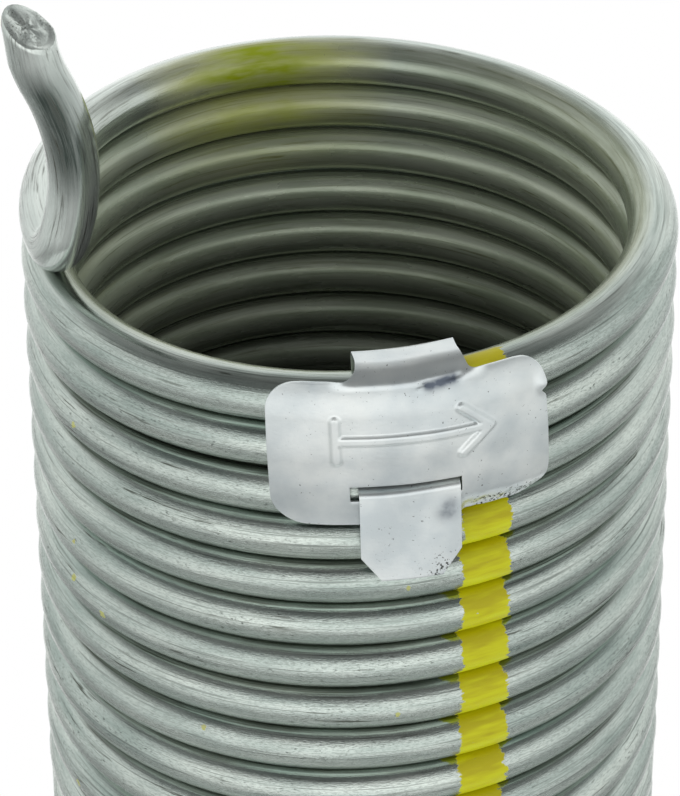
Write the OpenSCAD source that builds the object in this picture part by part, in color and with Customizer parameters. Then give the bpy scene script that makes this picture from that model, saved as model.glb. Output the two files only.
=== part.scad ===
// Torsion spring of a sectional garage door: close-wound coil of round wire, hooked at both ends,
// with a folded sheet-metal size tag clipped over the upper turns.
// Millimetres. +Z runs along the coil; z = 0 is the coil's lower end face, the hooks reach past it.

/* [Coil] */
// Diameter of the spring wire
wire_d = 6.1; // [4:0.1:8]
// Inside diameter of the coil, which the winding plugs fill
inner_d = 67; // [50:0.5:95]
// Number of whole turns in the coil
turns = 95; // [12:1:120]
// Gap left between neighbouring turns at rest
coil_gap = 0.1; // [0.05:0.05:1]

/* [Hooks] */
// How far the end wire follows the coil before it leaves it, in degrees
end_arc = 16; // [8:1:30]
// Centreline radius of the bend that turns the wire along the coil
lift_r = 5; // [4.6:0.2:10]
// Angle of that bend
lift_angle = 81; // [70:1:95]
// Lean of that bend towards the coil's axis
lift_lean = 15; // [0:1:25]
// Straight length after that bend
leg_l = 1; // [0.5:0.5:12]
// Centreline radius of the outward sweep
sweep_r = 31; // [15:1:50]
// Angle of the outward sweep
sweep_angle = 38; // [10:1:60]
// How far the sweep also carries the leg round the coil, in degrees
sweep_dir = 11; // [0:1:30]
// Centreline radius of the bend back to the axial direction
back_r = 19; // [10:1:40]
// Angle of the bend back
back_angle = 22; // [5:1:45]
// Straight length of the tip, to the middle of its sheared end
tip_l = 1; // [0.5:0.5:12]
// Slant of the sheared end face, in degrees from square
tip_slant = 36; // [0:1:45]

/* [Tag] */
// Thickness of the tag's sheet
sheet_t = 0.3; // [0.2:0.05:0.5]
// Clearance between the strap and the turn it goes over
tag_clear = 0.12; // [0.1:0.02:0.4]
// Clearance between the plate and the coil
plate_clear = 0.26; // [0.2:0.02:0.5]
// Clearance of the strap between the two turns it passes
strap_clear = 0.06; // [0.04:0.02:0.2]
// Angle round the coil of the tag's middle
tag_az = -79.5; // [-100:0.5:-60]
// Width of the plate
plate_w = 32; // [24:0.5:40]
// Radius of the plate's corners
plate_corner = 3.8; // [1:0.2:6]
// Width of the strap that goes over the top turn
strap_w = 11.8; // [8:0.2:16]
// Radius of the fillets where the strap leaves the plate
root_r = 1.5; // [0.5:0.1:3]
// Angle the strap dips by over the top turn
strap_dip = 10; // [4:1:20]
// How far the slot reaches past the strap on its open side
slot_over = 1.2; // [0.4:0.1:3]
// Height of the slot
slot_h = 1.9; // [1.6:0.1:2.4]
// Length of the tab folded down over the plate
tab_l = 12; // [6:0.5:16]
// Chamfer on the tab's lower corners
tab_chamfer = 2.4; // [0.5:0.1:4]
// Stroke width of the stamped winding arrow
mark_w = 1.1; // [0.6:0.1:2]
// Height the stamped arrow stands proud of the plate
mark_h = 0.3; // [0.1:0.05:0.5]

/* [Hidden] */
sleeve_l = 0.05;
sleeve_d = wire_d + 0.02;
wire_r = wire_d/2;
mean_r = inner_d/2 + wire_r;
pitch = wire_d + coil_gap;
rise = pitch/2;
tilt = atan(rise/(2*mean_r));
ring_r = mean_r/cos(tilt);
// the turns the strap passes between stand this much further apart
strap_gap = sheet_t + 2*strap_clear;
spread = ceil(100*((strap_gap + wire_d)/cos(tilt) - pitch))/100;
open_half = 2*turns - 5;
first_z = wire_r;
last_z = first_z + 2*turns*rise + spread;
tip_dir = -63;

// tag frame: the second turn's front half, its centre plane at z = 0
tag_z = first_z + (2*turns - 4)*rise + spread + rise/2;
top_z = pitch*cos(tilt);
low_z = -(pitch + spread)*cos(tilt);
face_r = ring_r + wire_r + plate_clear;
back_face_r = ring_r - wire_r - tag_clear;
plate_low = low_z - wire_r + 0.5;
fold_r = 0.6;
ridge_r = 0.9;
dip_r = 2;
low_fold_r = 0.5;
tab_fold_r = 0.4;
hug = 25;
tab_gap = 0.12;
root_lap = 0.06;
under_l = ring_r - back_face_r - low_fold_r;
flat_l = (2*wire_r + tag_clear + plate_clear - (fold_r + ridge_r)*(1 + sin(strap_dip))
  - 2*sin(strap_dip)*(dip_r + sheet_t))/(2*cos(strap_dip));
bend_z = top_z + wire_r + tag_clear + (dip_r + sheet_t)*(1 - cos(strap_dip)) + flat_l*sin(strap_dip);
root_z = bend_z - fold_r*cos(strap_dip);
plate_top = root_z + 0.55;
under_z = -wire_r - strap_clear;
inside_l = bend_z - ridge_r*cos(strap_dip) - under_z - low_fold_r;
hug_r = wire_r + strap_clear;
run_l = (wire_r + plate_clear + sheet_t + tab_gap - tab_fold_r
  - (hug_r + sheet_t)*sin(hug) + (sheet_t + tab_fold_r)*sin(hug))/cos(hug);
slot_top = under_z - 0.62;

// one half of a turn as a tilted half ring, even ones at the front and odd ones at the back
module half_turn(k) {
  extra = k > open_half ? spread : 0;
  own_rise = k == open_half ? rise + spread : rise;
  own_tilt = atan(own_rise/(2*mean_r));
  translate([0, 0, first_z + k*rise + extra])
    rotate([0, 0, k*180])
      translate([0, 0, own_rise/2])
        rotate([0, -own_tilt, 0])
          rotate_extrude(angle = -180, $fn = 96)
            translate([mean_r/cos(own_tilt), 0])
              circle(d = wire_d, $fn = 32);
}

module bend(r, a, dir) {
  rotate([0, 0, dir])
    translate([r, 0, 0])
      rotate([90, 0, 180])
        rotate_extrude(angle = a, $fn = 72)
          translate([r, 0])
            circle(d = wire_d, $fn = 32);
}

// carries on from the end of such a bend, wire heading along +Z
module after_bend(r, a, dir) {
  rotate([0, 0, dir])
    translate([r, 0, 0])
      rotate([0, a, 0])
        translate([-r, 0, 0])
          rotate([0, 0, -dir])
            children();
}

// length of straight wire, let into the lengths at either end of it
module straight(l) {
  translate([0, 0, -sleeve_l])
    cylinder(d = sleeve_d, h = l + 2*sleeve_l, $fn = 32);
}

// where the wire leaves the coil at its end, heading along +Z
module at_hook() {
  translate([0, 0, rise/2])
    rotate([0, -tilt, 0])
      rotate([0, 0, end_arc])
        translate([-ring_r, 0, 0])
          rotate([90, 0, 0])
            children();
}

module after_sweep() {
  after_bend(lift_r, lift_angle, 90 - lift_lean)
    translate([0, 0, leg_l])
      after_bend(sweep_r, sweep_angle, 180 - lift_lean - sweep_dir)
        children();
}

module after_back() {
  after_sweep()
    after_bend(back_r, back_angle, -lift_lean - sweep_dir)
      children();
}

// hook at a coil end lying at z = 0, from the coil's end to past its tip
module hook_wire() {
  translate([-mean_r, 0, 0])
    rotate([90, 0, 0])
      straight(0);
  translate([0, 0, rise/2])
    rotate([0, -tilt, 0])
      rotate([0, 0, 180])
        rotate_extrude(angle = end_arc, $fn = 96)
          translate([ring_r, 0])
            circle(d = wire_d, $fn = 32);
  at_hook() {
    bend(lift_r, lift_angle, 90 - lift_lean);
    after_bend(lift_r, lift_angle, 90 - lift_lean) {
      straight(leg_l);
      translate([0, 0, leg_l])
        bend(sweep_r, sweep_angle, 180 - lift_lean - sweep_dir);
    }
    straight(0);
    after_sweep() {
      straight(0);
      bend(back_r, back_angle, -lift_lean - sweep_dir);
    }
    after_back()
      straight(tip_l + wire_d);
  }
}

module hook() {
  difference() {
    hook_wire();
    at_hook()
      after_back()
        translate([0, 0, tip_l])
          rotate([0, 0, tip_dir])
            rotate([0, tip_slant, 0])
              translate([0, 0, wire_d])
                cube([4*wire_d, 4*wire_d, 2*wire_d], center = true);
  }
}

module spring() {
  color([0.62, 0.65, 0.64]) {
    for (k = [0:2*turns - 1])
      half_turn(k);
    for (k = [open_half, open_half + 1])
      translate([k == open_half ? mean_r : -mean_r, 0, first_z + k*rise + (k > open_half ? spread : 0)])
        rotate([90, 0, 0])
          straight(0);
    translate([0, 0, last_z])
      hook();
    translate([0, 0, first_z])
      rotate([180, 0, 0])
        hook();
  }
}

// strip of sheet in section: it heads along +Y with its wire side on x = 0
module run(l) {
  square([sheet_t, l]);
}

module arc_band(r, a) {
  far = 3*(r + sheet_t);
  intersection() {
    difference() {
      circle(r = r + sheet_t, $fn = 64);
      circle(r = r, $fn = 64);
    }
    polygon([[0, 0], [far, 0], [far*cos(a/2), far*sin(a/2)], [far*cos(a), far*sin(a)]]);
  }
}

module curl_in(r, a) {
  translate([-r, 0])
    arc_band(r, a);
}

module after_in(r, a) {
  translate([-r, 0])
    rotate(a)
      translate([r, 0])
        children();
}

module curl_out(r, a) {
  translate([sheet_t + r, 0])
    rotate(180 - a)
      arc_band(r, a);
}

module after_out(r, a) {
  translate([sheet_t + r, 0])
    rotate(-a)
      translate([-sheet_t - r, 0])
        children();
}

// section of the strap, from the plate's top over the first turn, down inside the coil,
// out between the second and third turns and down over the plate
module strap_section() {
  translate([face_r, root_z]) {
    curl_in(fold_r, 90 + strap_dip);
    after_in(fold_r, 90 + strap_dip) {
      run(flat_l);
      translate([0, flat_l]) {
        curl_out(dip_r, 2*strap_dip);
        after_out(dip_r, 2*strap_dip) {
          run(flat_l);
          translate([0, flat_l]) {
            curl_in(ridge_r, 90 + strap_dip);
            after_in(ridge_r, 90 + strap_dip)
              strap_inside();
          }
        }
      }
    }
  }
}

// from the inner ridge down inside the coil, out between two turns and down over the plate
module strap_inside() {
  run(inside_l);
  translate([0, inside_l]) {
    curl_in(low_fold_r, 90);
    after_in(low_fold_r, 90) {
      run(under_l);
      translate([0, under_l]) {
        curl_out(hug_r, hug);
        after_out(hug_r, hug) {
          run(run_l);
          translate([0, run_l]) {
            curl_out(tab_fold_r, 90 - hug);
            after_out(tab_fold_r, 90 - hug)
              run(tab_l);
          }
        }
      }
    }
  }
}

module strap_mask() {
  translate([20, -strap_w/2, low_z - 30])
    cube([40, strap_w, 60]);
  difference() {
    translate([face_r - fold_r - root_r, -strap_w/2 - root_r, root_z])
      cube([root_r + fold_r + 2, strap_w + 2*root_r, 3]);
    for (s = [-1, 1])
      translate([face_r - fold_r - root_r, s*(strap_w/2 + root_r), root_z - 1])
        cylinder(r = root_r, h = 5, $fn = 48);
  }
}

module plate_outline() {
  h = plate_top - plate_low;
  difference() {
    union() {
      for (s = [-1, 1])
        for (z = [plate_low + plate_corner, plate_top - plate_corner])
          translate([s*(plate_w/2 - plate_corner), z])
            circle(r = plate_corner, $fn = 64);
      translate([-plate_w/2, plate_low + plate_corner])
        square([plate_w, h - 2*plate_corner]);
      translate([-plate_w/2 + plate_corner, plate_low])
        square([plate_w - 2*plate_corner, h]);
    }
    translate([-strap_w/2 - root_r, root_z + root_lap])
      square([strap_w + 2*root_r, 5]);
    translate([-strap_w/2 - slot_over, slot_top - slot_h])
      square([strap_w + slot_over + 0.1, slot_h]);
  }
}

// open-headed arrow with a bar at its tail, for the direction of winding
module mark_outline() {
  translate([0, top_z/2 - 0.6]) {
    translate([-9, -mark_w/2])
      square([18, mark_w]);
    translate([-9 - mark_w/2, -3.2])
      square([mark_w, 6.4]);
    for (s = [-1, 1])
      translate([9.4, 0])
        rotate(180 + s*42)
          translate([0, -mark_w/2])
            square([4.6, mark_w]);
  }
}

module tag() {
  color([0.80, 0.82, 0.84])
    translate([0, 0, tag_z])
      rotate([0, -tilt, 0])
        rotate([0, 0, tag_az]) {
          intersection() {
            rotate([0, 0, -35])
              rotate_extrude(angle = 70, $fn = 192)
                translate([face_r, plate_low - 3])
                  square([sheet_t, plate_top - plate_low + 6]);
            rotate([90, 0, 90])
              linear_extrude(height = 60)
                plate_outline();
          }
          intersection() {
            rotate([0, 0, -35])
              rotate_extrude(angle = 70, $fn = 192)
                translate([face_r + sheet_t/2, plate_low])
                  square([sheet_t/2 + mark_h, plate_top - plate_low]);
            rotate([90, 0, 90])
              linear_extrude(height = 60)
                mark_outline();
          }
          difference() {
            intersection() {
              rotate([0, 0, -25])
                rotate_extrude(angle = 50, $fn = 192)
                  strap_section();
              strap_mask();
            }
            for (s = [-1, 1])
              translate([face_r, s*strap_w/2, slot_top - tab_l - tab_chamfer])
                rotate([s*45, 0, 0])
                  cube([6, 2*tab_chamfer, 2*tab_chamfer], center = true);
          }
        }
}

spring();
tag();
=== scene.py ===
# %% [markdown]
# # A garage door torsion spring
# The part has two pieces: one long wire wound into a close coil, hooked at both ends, and one thin
# aluminium tag folded over the top turns. The CAD model gives every size; this file redraws the wire
# and the sheet with finer surfaces and gives them their finishes.

import math

import bpy
import numpy as np
from mathutils import Matrix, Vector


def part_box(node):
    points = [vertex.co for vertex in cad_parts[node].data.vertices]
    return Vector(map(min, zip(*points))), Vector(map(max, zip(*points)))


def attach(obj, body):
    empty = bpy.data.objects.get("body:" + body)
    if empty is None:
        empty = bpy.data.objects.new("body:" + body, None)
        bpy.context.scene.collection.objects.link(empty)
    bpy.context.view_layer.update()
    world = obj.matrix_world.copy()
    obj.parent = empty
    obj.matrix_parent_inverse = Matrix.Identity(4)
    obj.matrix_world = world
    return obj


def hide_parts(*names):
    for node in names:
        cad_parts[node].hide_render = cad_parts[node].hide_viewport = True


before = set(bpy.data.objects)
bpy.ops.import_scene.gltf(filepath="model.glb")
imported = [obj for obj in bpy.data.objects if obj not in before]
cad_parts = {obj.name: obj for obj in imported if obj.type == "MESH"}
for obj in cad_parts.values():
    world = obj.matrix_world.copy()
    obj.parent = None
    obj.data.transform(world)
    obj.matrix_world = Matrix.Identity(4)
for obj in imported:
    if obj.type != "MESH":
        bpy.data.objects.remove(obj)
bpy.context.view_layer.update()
spring_low, spring_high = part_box("spring")
print("spring stands from", round(spring_low.z, 4), "to", round(spring_high.z, 4), "m")

# %% [markdown]
# ## Sizes
# All sizes are in millimetres, as on a spring maker's drawing, and turn to metres only when a mesh is
# made. They repeat the CAD part's own values, so that both describe the same spring.

# %% Sizes of the spring
MM = 0.001
wire_d = 6.1
wire_r = wire_d / 2
inner_d = 67.0
turns = 95
turn_gap = 0.1
pitch = wire_d + turn_gap
rise = pitch / 2  # what half a turn gains in height
mean_r = inner_d / 2 + wire_r
tilt = math.atan(rise / (2 * mean_r))
ring_r = mean_r / math.cos(tilt)  # radius of the tilted half rings that the CAD coil is made of
spread = 0.33  # how much further apart the tag's strap holds its two turns
spread_half = 2 * turns - 5  # the half turn over which that gap opens
first_z = wire_r
last_z = first_z + 2 * turns * rise + spread
print("coil centre line ends at", round(last_z, 2), "mm, mean radius", mean_r)

# %% [markdown]
# ## The coil's centre line
# A wound spring follows a helix. A Screw modifier would make one in a click, but the last turn has to
# run smoothly into the hook and two turns stand apart for the tag's strap, so the centre line is
# written as a function of the angle, and the tube is swept along it. The turns near the top carry
# three times as many stations as the rest, because most of the close looks go there.

# %% Centre line of the coil
dense_turns = 13
steps_dense = 96  # stations in one turn
steps_plain = 32


def smooth(x):
    """A soft step: 0 up to x = 0, then an S-shaped rise to 1 at x = 1."""
    x = np.clip(x, 0.0, 1.0)
    return x * x * (3 - 2 * x)


def coil_line(turn):
    """Centre of the wire after so many turns from the lower end, which lies at -X."""
    turn = np.asarray(turn, float)
    angle = np.pi + 2 * np.pi * turn
    half = 2 * turn
    helix = half * rise
    phase = half - np.floor(half)
    tilted = (np.floor(half) + 0.5 - 0.5 * np.cos(np.pi * phase)) * rise
    to_end = np.clip(np.minimum(turn, turns - turn), 0, None)
    height = tilted + (helix - tilted) * smooth(to_end)  # the first and last turn are tilted half rings
    height = height + spread * smooth(half - spread_half)
    return np.stack([mean_r * np.cos(angle), mean_r * np.sin(angle), first_z + height], -1)


plain_part = np.arange(0, (turns - dense_turns) * steps_plain) / steps_plain
dense_part = turns - dense_turns + np.arange(0, dense_turns * steps_dense + 1) / steps_dense
coil_points = coil_line(np.concatenate([plain_part, dense_part]))
print("coil stations:", len(coil_points))

# %% [markdown]
# ## The hooks
# Each end of the wire keeps to the coil for a few degrees, then a tight bend turns it along the coil,
# a long sweep leads it outwards, and a last bend turns it back. A turtle that carries its own frame
# draws it with the same bends as the CAD part. A curve object could be bent by hand, but the bends of
# a real hook are arcs with known radii, and so are these. The lower hook is the upper one turned over.

# %% Turns about an axis
def turn_x(a):
    c, s = math.cos(a), math.sin(a)
    return np.array([[1, 0, 0], [0, c, -s], [0, s, c]])


def turn_y(a):
    c, s = math.cos(a), math.sin(a)
    return np.array([[c, 0, s], [0, 1, 0], [-s, 0, c]])


def turn_z(a):
    c, s = math.cos(a), math.sin(a)
    return np.array([[c, -s, 0], [s, c, 0], [0, 0, 1]])


print("a quarter turn about X takes Y to", (turn_x(math.pi / 2) @ [0, 1, 0]).round(3))

# %% Bends of a hook
end_arc = math.radians(16)
lean = math.radians(15)
sweep_dir = math.radians(11)
arc_steps = 7
# each bend: its name, its radius (or its length, where straight), how far and which way it turns, and
# its steps
hook_bends = [
    ("lift", 5.0, math.radians(81), math.pi / 2 - lean, 14),
    ("leg", 1.0, 0.0, 0.0, 2),
    ("sweep", 31.0, math.radians(38), math.pi - lean - sweep_dir, 26),
    ("back", 19.0, math.radians(22), -lean - sweep_dir, 12),
    ("tip", 1.0, 0.0, 0.0, 3),
]
print("parts of a hook:", ", ".join(bend[0] for bend in hook_bends))

# %% Centre line of a hook
def hook_line():
    """Points from the coil's end, lying at z = 0, to the middle of the sheared end, and the last frame."""
    tilted = turn_y(-tilt)
    lift = np.array([0, 0, rise / 2])
    points = []
    for a in np.linspace(0, end_arc, arc_steps)[1:]:
        on_ring = np.array([ring_r * math.cos(math.pi + a), ring_r * math.sin(math.pi + a), 0])
        points.append(lift + tilted @ on_ring)
    axes = tilted @ turn_z(end_arc)
    here = lift + axes @ np.array([-ring_r, 0, 0])
    axes = axes @ turn_x(math.pi / 2)
    for name, size, angle, way, steps in hook_bends:
        if angle == 0:
            for k in range(1, steps + 1):
                points.append(here + axes @ np.array([0, 0, size * k / steps]))
            here = points[-1]
            continue
        swing = turn_z(way)
        arm = np.array([size, 0, 0])
        for k in range(1, steps + 1):
            points.append(here + axes @ swing @ (arm - turn_y(angle * k / steps) @ arm))
        here = points[-1]
        axes = axes @ swing @ turn_y(angle) @ swing.T
    return np.array(points), axes


hook_points, hook_axes = hook_line()
upper_hook = hook_points + [0, 0, last_z]
flip = np.diag([1.0, -1.0, -1.0])
lower_hook = (hook_points @ flip + [0, 0, first_z])[::-1]
centres = np.concatenate([lower_hook, coil_points, upper_hook])
print("hook rises", round(hook_points[:, 2].max(), 1), "mm above the coil's end")

# %% [markdown]
# ## Sweeping the wire
# Every station gets a ring of points square to the wire. On the coil the ring's first point looks
# straight outwards; on the hooks it is carried along without twisting. The distance along the wire
# and the place around it are stored on the mesh, because the draw marks and the paint follow them.

# %% Rings along the centre line
around = 24  # points in one ring


def square_to(vector, heading):
    """The part of a vector that is square to a heading, one unit long."""
    part = vector - vector @ heading * heading
    return part / np.linalg.norm(part)


along = np.gradient(centres, axis=0)
along /= np.linalg.norm(along, axis=1)[:, None]
first, last = len(lower_hook), len(lower_hook) + len(coil_points) - 1
up = np.array([0, 0, 1.0])
out_dirs = np.zeros_like(centres)
for i in range(first, last + 1):
    out_dirs[i] = np.cross(along[i], square_to(up, along[i]))
for steps in (range(last + 1, len(centres)), range(first - 1, -1, -1)):
    for i in steps:
        before = out_dirs[i - 1] if i > last else out_dirs[i + 1]
        out_dirs[i] = square_to(before, along[i])
up_dirs = np.cross(out_dirs, along)
run_mm = np.concatenate([[0], np.cumsum(np.linalg.norm(np.diff(centres, axis=0), axis=1))])
turn_at = np.full(len(centres), float(turns))
turn_at[:first] = 0
turn_at[first:last + 1] = np.concatenate([plain_part, dense_part])
print("wire length:", round(run_mm[-1] / 1000, 2), "m in", len(centres), "stations")

# %% [markdown]
# ## The sheared ends
# A shear cuts the wire off at a slant. Its blade drags the edge that it meets first round a curve,
# leaves a crack where the metal tore, and crumples the rest, with a burr at the far edge. A Boolean cut
# would give a clean slant and nothing else. Instead the last ring is slid along the wire until it lies
# in the cut's plane, the cut face is filled with finer rings that can carry the crack, the crumpling
# and the burr, and all of it near the edge is pulled in to round it over.

# %% Sizes of a sheared end
ring_angles = 2 * np.pi * np.arange(around) / around
tip_way = math.radians(-52)
tip_slant = math.radians(37)
cut_back = 0.45  # how much shorter than the CAD wire the cut leaves it
crack_depth, crumple_height, burr_height = 0.30, 0.10, 0.35
end_shares = 1 - (1 - np.arange(1, 10) / 9) ** 1.5  # places of the last nine rings, closer at the end
cap_shares = np.array([0.97, 0.91, 0.82, 0.71, 0.60, 0.48, 0.36, 0.24, 0.12])  # sizes of the face's rings
cut_normal = hook_axes @ turn_z(tip_way) @ turn_y(tip_slant) @ np.array([0, 0, 1.0])
print("the cut leans", round(math.degrees(math.acos(cut_normal @ along[-1])), 1), "degrees from square")

# %% Rings of the wire and of a sheared face
rings = (centres[:, None]
         + wire_r * (np.cos(ring_angles)[None, :, None] * out_dirs[:, None]
                     + np.sin(ring_angles)[None, :, None] * up_dirs[:, None]))


def slide_to_cut(ring, tip, normal, heading):
    return ring + ((tip - ring) @ normal / (heading @ normal))[:, None] * heading


def cut_cap(ring, middle, normal, heading, seed):
    """Rings that fill the cut face: a smooth part, a crack, then a crumpled part with a raised burr."""
    random = np.random.default_rng(seed)
    side = square_to(normal, heading)
    over = np.cross(heading, side)
    caps = []
    for share in cap_shares:
        flat = middle + share * (ring - middle)
        toward, across = (flat - middle) @ side / wire_r, (flat - middle) @ over / wire_r
        crumple = smooth((toward + 0.35) / 0.3) * smooth((0.75 - toward) / 0.4)
        crack = (np.exp(-((across + 0.1) / 0.16) ** 2)
                 * smooth((0.1 - toward) / 0.3) * smooth((toward + 0.9) / 0.3))
        burr = burr_height * smooth((toward - 0.45) / 0.25) * (share > 0.9)
        lift = burr - crack_depth * crack + crumple_height * crumple * random.standard_normal(len(ring))
        caps.append(flat + lift[:, None] * normal)
    return caps


print("points on the wire's surface:", rings.shape[0] * around)

# %% Rounded edge of a sheared face
edge_sharp, edge_round = 0.15, 1.3


def rolled_over(points, middle, normal, heading):
    """Rounds the edge that the blade meets first; the far edge stays sharp."""
    side = square_to(normal, heading)
    offset = points - middle
    depth = -(offset @ normal) / (heading @ normal)
    flat = offset - (offset @ heading)[:, None] * heading
    rho = np.linalg.norm(flat, axis=1)
    radius = edge_sharp + edge_round * (0.5 - 0.5 * (flat @ side) / rho) ** 1.5
    wide, high = np.maximum(rho - wire_r + radius, 0), np.maximum(radius - depth, 0)
    inside_curve = np.maximum(wide, high) / np.hypot(wide, high).clip(1e-6)
    shrink = np.where((wide > 0) & (high > 0), inside_curve, 1.0)
    return (points - ((wide - wide * shrink) / rho)[:, None] * flat
            - (high - high * shrink)[:, None] * heading)


print("the edge is rounded by", edge_sharp, "to", round(edge_sharp + edge_round, 2), "mm")

# %% Both ends sheared
def cut_end(rings, tip, normal, heading, seed):
    """Slides the wire's last ring to the cut's plane, spreads the rings before it and closes the face."""
    middle = tip - cut_back * heading
    start, end = rings[-len(end_shares) - 1], slide_to_cut(rings[-1], middle, normal, heading)
    caps = cut_cap(end, middle, normal, heading, seed)
    for k, share in enumerate(end_shares):
        rings[k - len(end_shares)] = rolled_over(start + (end - start) * share, middle, normal, heading)
    return [rolled_over(cap, middle, normal, heading) for cap in caps]


upper_seed, lower_seed = 4, 5
upper_caps = cut_end(rings, centres[-1], cut_normal, along[-1], upper_seed)
lower_caps = cut_end(rings[::-1], centres[0], flip @ cut_normal, -along[0], lower_seed)
all_rings = np.concatenate([np.array(lower_caps[::-1]), rings, np.array(upper_caps)])
caps = len(lower_caps)
print("each sheared face has", caps, "rings")

# %% Mesh of the wire
def pad(values):
    """Repeats the first and the last station's value for the rings of the sheared faces."""
    return np.concatenate([np.repeat(values[:1], caps, 0), values, np.repeat(values[-1:], caps, 0)])


def mesh_object(name, points, faces):
    mesh = bpy.data.meshes.new(name)
    mesh.from_pydata(points.tolist(), [], faces)
    mesh.validate()
    mesh.shade_smooth()
    made = bpy.data.objects.new(name, mesh)
    bpy.context.scene.collection.objects.link(made)
    print(name, "has", len(mesh.vertices), "points and", len(mesh.polygons), "faces")
    return made


stations = len(all_rings)
corner = np.arange(stations * around).reshape(stations, around)
quads = np.stack([corner[:-1], np.roll(corner[:-1], -1, 1), np.roll(corner[1:], -1, 1), corner[1:]], -1)
faces = quads.reshape(-1, 4).tolist()
faces.append(corner[0][::-1].tolist())
faces.append(corner[-1].tolist())
spring = mesh_object("spring_wire", all_rings.reshape(-1, 3) * MM, faces)

# %% [markdown]
# ## Places on the wire
# The finish needs to know where it is on the wire. Three values go onto every point: the place along
# and around the wire in millimetres, how far it lies in a soft dark band down the hook's side, which is a
# painted dark reflection, and which turn it belongs to. Stored values move with the mesh and survive an
# export, which a pattern laid through the air might not. The UV map gives the wire's grain its way.

# %% Places on the wire
def store(piece, name, kind, values):
    attribute = piece.data.attributes.new(name, kind, "POINT")
    attribute.data.foreach_set("vector" if kind == "FLOAT_VECTOR" else "value",
                               np.ascontiguousarray(values, np.float32).ravel())


run_all = pad(run_mm)[:, None] * np.ones(around)
ring_size = np.concatenate([cap_shares[::-1], np.ones(len(rings)), cap_shares])[:, None]
side = wire_r * np.cos(ring_angles)[None] * ring_size
height = wire_r * np.sin(ring_angles)[None] * ring_size
store(spring, "wire_place", "FLOAT_VECTOR", np.stack([run_all, side, height], -1))
from_tip = np.minimum(run_all, run_all.max() - run_all)
flank_side = math.radians(-66)  # where round the wire the band runs
flank_first, flank_last = 3, 26  # millimetres from the tip
# the band down the hook's side is a painted dark reflection
flank = ((0.5 + 0.5 * np.cos(ring_angles[None] - flank_side)) ** 6
         * smooth((from_tip - flank_first) / 6) * smooth((flank_last - from_tip) / 9))
store(spring, "flank", "FLOAT", flank * ring_size)
store(spring, "turn", "FLOAT", pad(turn_at)[:, None] * np.ones(around))
print("the dark band covers", int((flank > 0.5).sum()), "points of the hooks")

# %% Unwrapped wire
uv = spring.data.uv_layers.new(name="wire_uv")
loop_vertex = np.zeros(len(spring.data.loops), np.int32)
spring.data.loops.foreach_get("vertex_index", loop_vertex)
ring_of, place_of = np.divmod(loop_vertex, around)
starts = np.zeros(len(spring.data.polygons), np.int32)
spring.data.polygons.foreach_get("loop_start", starts)
poly_of_loop = np.searchsorted(starts, np.arange(len(loop_vertex)), side="right") - 1
# the faces that close the tube go on to 1 instead of running back to 0
seam = np.zeros(len(spring.data.polygons), bool)
np.logical_or.at(seam, poly_of_loop, place_of == around - 1)
around_share = place_of / around + ((place_of == 0) & seam[poly_of_loop]) * 1.0
uv_values = np.stack([pad(run_mm)[ring_of] / 1000, around_share], -1)
uv.data.foreach_set("uv", uv_values.astype(np.float32).ravel())
print("wire places stored on", len(spring.data.vertices), "points")

# %% [markdown]
# ## Colours and nodes
# Colours are written as sRGB hex values, as a paint maker gives them, and Blender works in linear
# light, so one function converts them. A second one adds a node to a material with its settings and
# links, whatever kind of node it is, so that a material reads as a list of steps. Blender calls a
# colour ramp ValToRGB.

# %% Colours in linear light
def linear(hex_code):
    channels = [int(hex_code[i:i + 2], 16) / 255 for i in (1, 3, 5)]
    return tuple(c / 12.92 if c <= 0.04045 else ((c + 0.055) / 1.055) ** 2.4 for c in channels) + (1.0,)


print("yellow #cccb06 is", [round(c, 3) for c in linear("#cccb06")[:3]], "in linear light")

# %% One function for every node
def add(tree, kind, settings=None, *ordered, **named):
    """Adds a node. Settings are its properties, or the stops of a colour ramp. Inputs come in order, by
    name or by number, each a value, a socket, or a node whose first output is linked."""
    node = tree.nodes.new("ShaderNode" + kind)
    for key, value in (settings or {}).items():
        if key != "stops":
            setattr(node, key, value)
            continue
        elements = node.color_ramp.elements
        while len(elements) < len(value):
            elements.new(0.5)
        for element, (position, tint) in zip(elements, value):
            element.position = position
            element.color = linear(tint) if isinstance(tint, str) else (tint, tint, tint, 1.0)
    inputs = dict(enumerate(ordered))
    inputs.update({int(key[1:]) if key[1:].isdigit() else key.replace("_", " "): value
                   for key, value in named.items()})
    for key, value in inputs.items():
        if isinstance(value, bpy.types.Node):
            value = value.outputs[0]
        if isinstance(value, bpy.types.NodeSocket):
            tree.links.new(value, node.inputs[key])
        else:
            node.inputs[key].default_value = value
    return node


print("one function adds every node")

# %% [markdown]
# ## The steel wire
# The wire is hard-drawn spring steel with a thin grey zinc coat. Drawing pulls fine marks along it,
# winding polishes the sides that rub, and the coat leaves a fine grain on the crests. A metal keeps its
# default IOR; its look comes from colour, roughness and small bumps. Scratches could be painted on an
# image, but marks that follow 22 m of wire would need a huge one, so all of them come from noise that
# is stretched along the wire. Its cells are given in real millimetres. The true draw marks are finer
# than 0.1 mm; they are drawn about 0.26 mm wide so that they show at all.

# %% Start of the wire's material
def new_material(name):
    made = bpy.data.materials.new(name)
    made.use_nodes = True
    made.node_tree.nodes.clear()
    return made, made.node_tree


def pattern(tree, place, cells, detail=3.0, roughness=0.55, offset=0.0):
    """A noise laid over a place; cells says how many fit in one unit of length along each axis."""
    laid = add(tree, "Mapping", Vector=place, Scale=cells, Location=(offset, offset, offset))
    return add(tree, "TexNoise", Vector=laid, Scale=1.0, Detail=detail, Roughness=roughness)


steel, tree = new_material("zinc_coated_spring_steel")
where = add(tree, "Attribute", {"attribute_name": "wire_place"}).outputs["Vector"]
split = add(tree, "SeparateXYZ", Vector=where)
# 1 on the coil's outside, -1 on its inside
outward = add(tree, "Math", {"operation": "DIVIDE"}, split.outputs[1], wire_r)
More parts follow.
